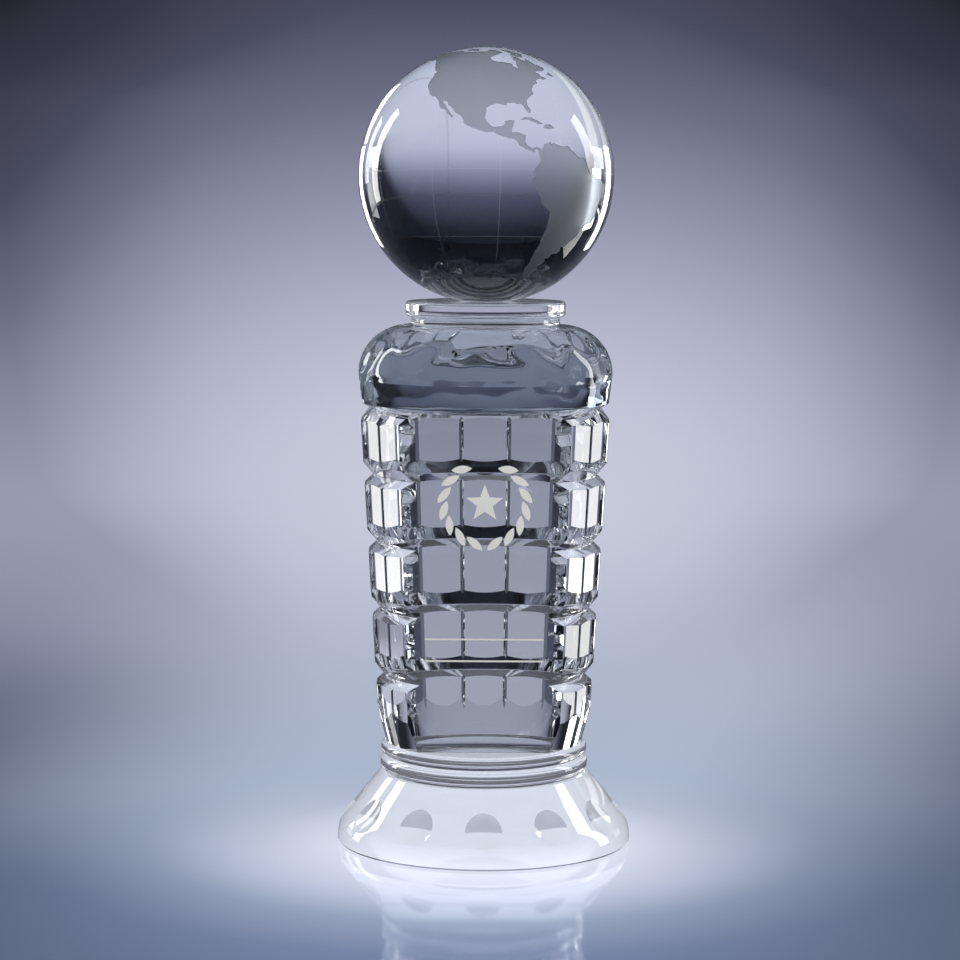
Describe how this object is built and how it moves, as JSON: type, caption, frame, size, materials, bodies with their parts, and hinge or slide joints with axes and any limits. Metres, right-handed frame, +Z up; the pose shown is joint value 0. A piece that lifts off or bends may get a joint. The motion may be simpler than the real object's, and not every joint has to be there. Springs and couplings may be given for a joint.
{
  "type": "crystal award",
  "caption": "Clear crystal award: a solid globe with an etched world map on a block-cut pedestal with a flat engraved front panel, a collar, a domed shoulder and a dimpled foot",
  "frame": {"origin": "centre of the foot's flat underside, on the table", "axes": "+Z up along the axis of the award, -Y out of the flat front panel, +X to the right when facing the panel"},
  "size_m": [0.1162, 0.1162, 0.3132],
  "materials": {
    "crystal": "cut and polished clear crystal",
    "globe_crystal": "polished clear crystal with sand-etched land",
    "clear_bond": "clear cured adhesive film",
    "engraving_white": "matt white fill in the engraving"
  },
  "bodies": {
    "root": {"globe": "globe_crystal", "globe_bond": "clear_bond", "collar": "crystal", "collar_bond": "clear_bond", "shoulder": "crystal", "shoulder_bond": "clear_bond", "column": "crystal", "engraving_fill": "engraving_white", "column_bond": "clear_bond", "waist": "crystal", "foot_bond": "clear_bond", "foot": "crystal"}
  },
  "joints": []
}
